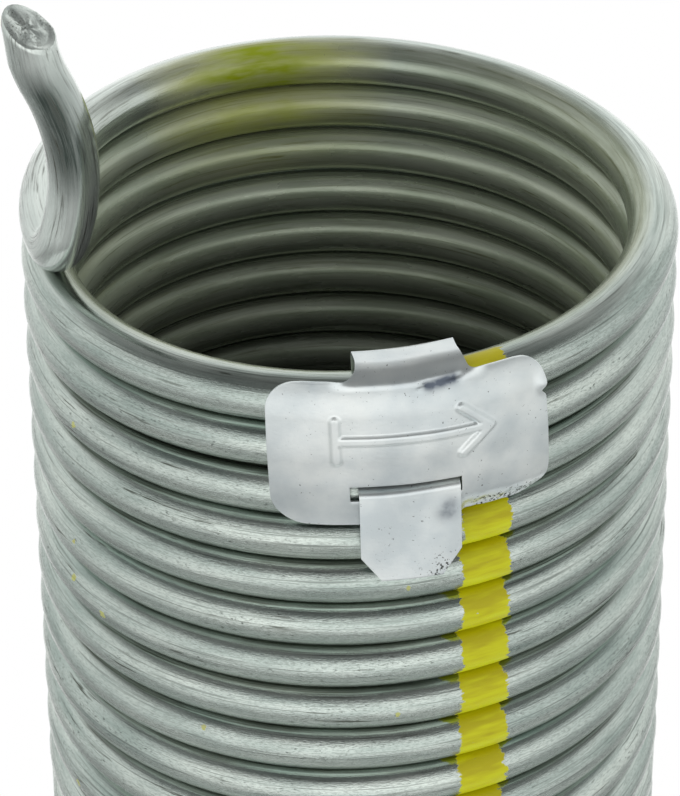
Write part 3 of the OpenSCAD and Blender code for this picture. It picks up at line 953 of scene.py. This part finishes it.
# %% Mesh of the tag
ids = np.arange(grid_u.size).reshape(grid_u.shape)
middle_u = ((columns[:-1] + columns[1:]) / 2)[None]
middle_run = ((sheet_run[:-1] + sheet_run[1:]) / 2)[:, None]
in_slot = (middle_run > slot_low) & (middle_run < slot_top) & (middle_u > slot_left) & (middle_u < slot_right)
on_sheet = ((middle_run < plate_top) | (np.abs(middle_u) < strap_half)) & ~in_slot
cells = [[ids[i, j], ids[i, j + 1], ids[i + 1, j + 1], ids[i + 1, j]]
         for i, j in zip(*np.where(on_sheet))]
edges = dict.fromkeys(pair for corners in cells for pair in zip(corners, corners[1:] + corners[:1]))
rim = [(a, b) for (a, b) in edges if (b, a) not in edges]
used = np.zeros(ids.size, bool)
used[np.unique(np.array(cells))] = True
new_id = np.cumsum(used) - 1
count = int(used.sum())
sheet_faces = [[int(new_id[i]) for i in corners] for corners in cells]
sheet_faces += [[int(new_id[i]) + count for i in reversed(corners)] for corners in cells]
sheet_faces += [[int(new_id[b]), int(new_id[a]), int(new_id[a]) + count, int(new_id[b]) + count]
                for a, b in rim]
print("the sheet's rim has", len(rim), "edges")
tag_z = first_z + (2 * turns - 4) * rise + spread + rise / 2
to_row = turn_y(-tilt) @ turn_z(tag_azimuth)
sheet_points = np.concatenate([sheet_over.reshape(-1, 3)[used], sheet_under.reshape(-1, 3)[used]])
sheet_points = sheet_points @ to_row.T + [0, 0, tag_z]
tag = mesh_object("tag_sheet", sheet_points * MM, sheet_faces)

# %% [markdown]
# ## The finish of the aluminium
# Mill-finish aluminium sheet has a soft, slightly cloudy shine from the rolls, a few fine specks, and
# dirt where a thumb pressed: black crumbs at the tab's corner and under the folded edge. The same black
# crumbs along the plate's pressed-in lower side are painted shade there. A grey-blue patch on the tab's
# top, where it curves out from behind the slot, is painted shade too, and the crease under the strap is
# darkened with the same grey. Two values on every point say where those places are, as the shape of
# the sheet decides them, and noise breaks them up into crumbs. The rolled grain is finer than a tenth of
# a millimetre and is left to a faint bump.

# %% Places of dirt and painted shade on the tag
soil = 0.95 * np.exp(-((sheet_u - 3.4) / 2.2) ** 2 - ((tab_run - 10.2) / 2.4) ** 2) * (tab_run > 0)
# painted shade: dark crumbs along the plate's pressed-in lower right edge
soil += 0.9 * smooth((plate_low + 2.6 - grid_run) / 1.4) * smooth((sheet_u - 6.2) / 1.2) * (tab_run <= 0)
soil += 0.55 * dent(sheet_u, grid_run, (1.0, root_z), (5.6, root_z + 0.4), 0.6) * (tab_run <= 0)
# painted shade on the tab's top, where it curves out from behind the slot
stain = 1.7 * np.exp(-((sheet_u - 4.4) / 1.2) ** 2 - ((tab_run - 2.6) / 1.3) ** 2) * (tab_run > 0)
# grey darkening along the crease under the strap's root
stain += 1.9 * dent(sheet_u, grid_run, (2.2, root_z - 0.05), (5.0, root_z + 0.40), 0.75) * (tab_run <= 0)
for name, field in (("soil", soil), ("stain", stain)):
    store(tag, name, "FLOAT", np.tile(field.ravel()[used], 2))
    print(name, "reaches", int((field.ravel()[used] > 0.3).sum()), "of", count, "points")

# %% Colour of the tag
sheet_metal, tree = new_material("mill_finish_aluminium_sheet")
spot = add(tree, "TexCoord").outputs["Object"]
# this place is in metres, so 300 cells are 3.3 mm each, 2600 are 0.4 mm and 8000 are 0.13 mm
haze = pattern(tree, spot, (300.0, 300.0, 300.0), 3.0)
speckle = pattern(tree, spot, (2600.0, 2600.0, 2600.0), 3.0, 0.6)
rolled = pattern(tree, spot, (900.0, 900.0, 8000.0), 2.0)
broad = pattern(tree, spot, (110.0, 110.0, 110.0), 2.0, offset=8.0)
soil_and_edge_shade_at = add(tree, "Attribute", {"attribute_name": "soil"}).outputs["Fac"]
tab_shade_and_crease_at = add(tree, "Attribute", {"attribute_name": "stain"}).outputs["Fac"]
specks = add(tree, "Math", {"operation": "MULTIPLY"},
             add(tree, "ValToRGB", {"stops": [(0.28, 1.0), (0.34, 0.0)]}, speckle),
             add(tree, "ValToRGB", {"stops": [(0.5, 0.0), (0.6, 1.0)]},
                 pattern(tree, spot, (250.0, 250.0, 250.0), 2.0, offset=3.0)))
# crust_and_edge_shade: black crumbs of dirt, and painted shade along the pressed-in lower edge
crust_and_edge_shade = add(tree, "ValToRGB", {"stops": [(0.17, 0.0), (0.24, 1.0)]},
            add(tree, "Math", {"operation": "MULTIPLY_ADD"}, soil_and_edge_shade_at, 0.19,
                add(tree, "Math", {"operation": "SUBTRACT"}, 0.47, speckle)))
dirt_and_edge_shade = add(tree, "Math", {"operation": "MAXIMUM"}, specks, crust_and_edge_shade)
sheen = add(tree, "ValToRGB", {"stops": [(0.36, "#d4dddf"), (0.5, "#e4ebeb"), (0.64, "#f3f8f6")]},
            add(tree, "Math", {"operation": "MULTIPLY_ADD"}, haze, 0.4,
                add(tree, "Math", {"operation": "MULTIPLY"}, broad, 0.6)))
tag_colour = add(tree, "Mix", {"data_type": "RGBA"}, _0=dirt_and_edge_shade, _6=sheen, _7=linear("#3d403c")).outputs[2]
# the grey-blue #626a76 paints the tab's top shade and darkens the crease
grey_break = add(tree, "Math", {"operation": "MULTIPLY_ADD", "use_clamp": True}, speckle, 0.25,
                  add(tree, "Math", {"operation": "MULTIPLY_ADD"}, haze, 2.2, -0.6))
grey_cover = add(tree, "Math", {"operation": "MULTIPLY", "use_clamp": True}, tab_shade_and_crease_at, grey_break)
tag_colour = add(tree, "Mix", {"data_type": "RGBA"}, _0=grey_cover, _6=tag_colour,
                 _7=linear("#626a76")).outputs[2]
print(len(tree.nodes), "nodes with the sheet's colour")

# %% Shine and rim of the tag
roll_height, rim_width = 0.04 * MM, 0.06 * MM
tag_bump = add(tree, "Bump", Strength=0.35, Distance=roll_height,
               Height=add(tree, "Math", {"operation": "MULTIPLY_ADD"}, rolled, 0.3, speckle))
surface = add(tree, "BsdfPrincipled", Metallic=0.82, Base_Color=tag_colour, Normal=tag_bump,
              Roughness=add(tree, "Math", {"operation": "MULTIPLY_ADD"}, haze, 0.14, 0.24))
add(tree, "OutputMaterial", Surface=surface)
tag.data.materials.append(sheet_metal)
bevel = tag.modifiers.new("worn_edges", "BEVEL")
bevel.width = rim_width
bevel.segments = 2
bevel.angle_limit = math.radians(60)
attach(tag, "root")
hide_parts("tag")
print(len(tree.nodes), "nodes in", sheet_metal.name)

# %% [markdown]
# ## The floor
# The spring hangs a hair over a round board of matt white, as its lower hook would not let it stand. A
# plane would do, but a round edge looks calm from every side.

# %% Floor
floor_gap, floor_radius, floor_steps = 0.0002, 0.5, 96  # metres, metres, corners
floor_z = spring_low.z - floor_gap
circle = [(floor_radius * math.cos(2 * math.pi * k / floor_steps),
           floor_radius * math.sin(2 * math.pi * k / floor_steps), floor_z) for k in range(floor_steps)]
floor_mesh = bpy.data.meshes.new("floor")
floor_mesh.from_pydata(circle, [], [tuple(range(floor_steps))])
floor = bpy.data.objects.new("floor", floor_mesh)
bpy.context.scene.collection.objects.link(floor)
board, tree = new_material("matt_white_board")
clouds = pattern(tree, add(tree, "TexCoord").outputs["Object"], (30.0, 30.0, 30.0), 2.0)
surface = add(tree, "BsdfPrincipled", Roughness=0.8,
              Base_Color=add(tree, "ValToRGB", {"stops": [(0.0, "#dde0df"), (1.0, "#e7eae9")]}, clouds))
add(tree, "OutputMaterial", Surface=surface)
floor_mesh.materials.append(board)
print("floor at", round(floor_z, 4), "m")

# %% [markdown]
# ## The light tent
# Bare metal shows what stands around it, so its look is made by the surroundings as much as by the
# material. A studio puts small metal parts in a light tent: bright cloth at the height of the part,
# open and dark above, dim below. That gives round wire its long bright crest with a dark band over
# it. Lamps would leave hard glints instead. The world's colour therefore changes with height, in one
# way in front and in another behind, where the cloth is nearer; it is dimmer towards the sides.

# %% Light tent
world = bpy.data.worlds.new("light_tent")
world.use_nodes = True
bpy.context.scene.world = world
tree = world.node_tree
tree.nodes.clear()
toward = add(tree, "TexCoord").outputs["Generated"]
directions = add(tree, "SeparateXYZ", Vector=toward)


def at(degrees):
    """A height above or below the horizon, as its place on a ramp."""
    return (math.sin(math.radians(degrees)) + 1) / 2


side_grey, dimmer_sides = (0.22, 0.25, 0.245, 1.0), 0.47
heights = add(tree, "Math", {"operation": "MULTIPLY_ADD"}, directions.outputs["Z"], 0.5, 0.5)
front = add(tree, "ValToRGB",
            {"stops": [(at(-58), 0.24), (at(-45), 0.33), (at(-35), 0.5), (at(-24), 0.9), (at(-12), 1.15),
                       (at(24), 1.15), (at(33), 0.6), (at(40), 0.17), (at(90), 0.12)]},
            heights)
behind = add(tree, "ValToRGB",
             {"stops": [(at(-55), 0.35), (at(-25), 0.62), (at(-8), 1.0), (at(30), 1.0), (at(45), 0.55),
                        (at(90), 0.35)]},
             heights)
backward = add(tree, "Math", {"operation": "MULTIPLY_ADD", "use_clamp": True}, directions.outputs["Y"], 1.4, -0.1)
off_centre = add(tree, "Math", {"operation": "ABSOLUTE"}, directions.outputs["X"])
sideways = add(tree, "Math", {"operation": "MULTIPLY"},
               add(tree, "Math", {"operation": "POWER"}, off_centre, 2.0), dimmer_sides)
tent = add(tree, "Mix", {"data_type": "RGBA"}, _0=backward, _6=front, _7=behind).outputs[2]
tent = add(tree, "Mix", {"data_type": "RGBA"}, _0=sideways, _6=tent, _7=side_grey).outputs[2]
print(len(tree.nodes), "nodes in the tent")

# %% [markdown]
# A strip of brighter cloth straight behind and low down draws thin white lines along the coil's edges.
# Then Light Path decides what each kind of ray meets: glossy rays, which metal sends out, meet the
# tent with its bands; diffuse rays meet one plain pale grey, so that paint and floor are lit
# evenly; the camera's own rays, and any that pass through something clear, meet plain white.

# %% Rim light and what the rays meet
rim_white, plain_light, paper_white = (1.15, 1.15, 1.15, 1.0), (0.86, 0.86, 0.86, 1.0), (1.0, 1.0, 1.0, 1.0)
straight_back = add(tree, "Math", {"operation": "MULTIPLY"}, backward,
                    add(tree, "ValToRGB", {"stops": [(0.3, 1.0), (0.55, 0.0)]}, off_centre))
rim_light = add(tree, "Math", {"operation": "MULTIPLY"}, straight_back,
                add(tree, "ValToRGB", {"stops": [(at(-12), 1.0), (at(8), 0.0)]}, heights))
tent = add(tree, "Mix", {"data_type": "RGBA"}, _0=rim_light, _6=tent, _7=rim_white).outputs[2]
rays = add(tree, "LightPath")
shade = add(tree, "Mix", {"data_type": "RGBA"}, _0=rays.outputs["Is Diffuse Ray"], _6=tent,
            _7=plain_light).outputs[2]
seen = add(tree, "Math", {"operation": "MAXIMUM"}, rays.outputs["Is Camera Ray"],
           rays.outputs["Is Transmission Ray"])
shade = add(tree, "Mix", {"data_type": "RGBA"}, _0=seen, _6=shade, _7=paper_white).outputs[2]
sky = add(tree, "Background", Color=shade, Strength=1.0)
add(tree, "OutputWorld", Surface=sky)
print(len(tree.nodes), "nodes in", world.name)

# %% [markdown]
# ## Camera
# A long lens looks down at the top of the coil from the front. Its aim is given as three turns, in
# radians, and its axes are written straight into the camera's matrix, which leaves nothing to guess
# about the order of the turns.

# %% Camera
camera_at = (0.00231, -0.42648, 0.84748)  # metres
yaw, pitch_down, roll = -0.00842, 0.58781, -0.00809
forward = np.array([math.sin(yaw) * math.cos(pitch_down), math.cos(yaw) * math.cos(pitch_down),
                    -math.sin(pitch_down)])
right = np.array([math.cos(yaw), -math.sin(yaw), 0.0])
above = np.cross(right, forward)
across = right * math.cos(roll) + above * math.sin(roll)
upright = above * math.cos(roll) - right * math.sin(roll)
lens = bpy.data.cameras.new("camera")
lens.sensor_width = 36.0
lens.sensor_height = 36.0
lens.sensor_fit = "AUTO"
lens.lens = 187.0
lens.clip_start = 0.01
camera = bpy.data.objects.new("camera", lens)
bpy.context.scene.collection.objects.link(camera)
placed = np.eye(4)
placed[:3, 0], placed[:3, 1], placed[:3, 2] = across, upright, -forward
placed[:3, 3] = camera_at
camera.matrix_world = Matrix(placed.tolist())
bpy.context.scene.camera = camera
bpy.context.scene.view_settings.view_transform = "Standard"
print("camera with a", lens.lens, "mm lens at", camera_at)
